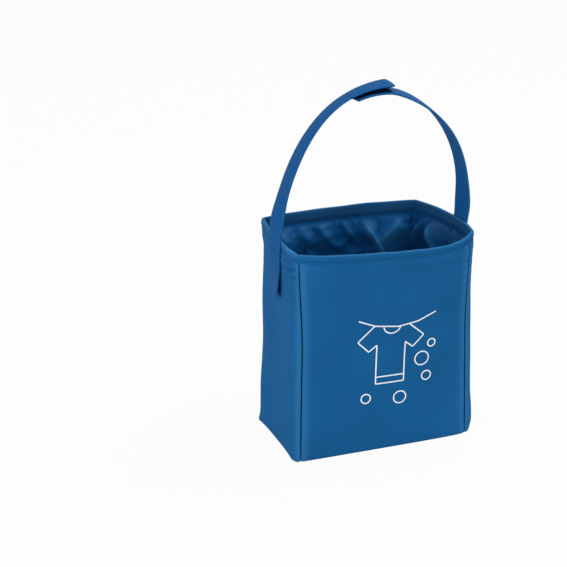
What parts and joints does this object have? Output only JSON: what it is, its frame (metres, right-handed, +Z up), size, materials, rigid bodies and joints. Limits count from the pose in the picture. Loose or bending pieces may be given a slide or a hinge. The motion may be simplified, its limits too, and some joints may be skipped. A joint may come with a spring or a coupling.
{
  "type": "peg basket",
  "caption": "Open lined fabric basket for clothes pegs, standing on a flat base, with a carrying strap that opens at the crown by a hook and loop closure.",
  "frame": {"origin": "centre of the base's underside, on the surface that the basket stands on", "axes": "+X along the front, to the right as seen from the front, +Y from the front to the back, +Z up"},
  "size_m": [0.1739, 0.1352, 0.3147],
  "materials": {
    "shell": "woven, matt, coated on the inside",
    "foam": "thin soft foam sheet",
    "lining": "thin, smooth and glossy, crumpled",
    "webbing": "woven strap, matt",
    "tape": "hook and loop pile"
  },
  "bodies": {
    "bag": {"front_panel": "shell", "right_panel": "shell", "back_panel": "shell", "left_panel": "shell", "base_panel": "shell", "front_foam": "foam", "right_foam": "foam", "back_foam": "foam", "left_foam": "foam", "base_foam": "foam", "front_lining": "lining", "right_lining": "lining", "back_lining": "lining", "left_lining": "lining", "base_lining": "lining", "rim_band": "shell", "left_strap_tail": "webbing", "right_strap_tail": "webbing"},
    "left_strap": {"left_strap": "webbing"},
    "closure_tab": {"closure_tab": "webbing", "hook_tape": "tape"},
    "right_strap": {"right_strap": "webbing", "loop_tape": "tape"}
  },
  "joints": [
    {"name": "left_strap_fold", "type": "hinge", "parent": "bag", "child": "left_strap", "pos_m": [-0.08343, -0.00301, 0.1913], "axis": [-0.0429, -0.9991, 0], "range_deg": [0, 180]},
    {"name": "closure_tab_fold", "type": "hinge", "parent": "left_strap", "child": "closure_tab", "pos_m": [-0.01646, -0.00647, 0.30712], "axis": [-0.1018, -0.9908, 0.0889], "range_deg": [0, 100]},
    {"name": "right_strap_fold", "type": "hinge", "parent": "bag", "child": "right_strap", "pos_m": [0.08575, -0.01307, 0.191], "axis": [-0.0286, -0.9996, 0], "range_deg": [0, 95]}
  ]
}
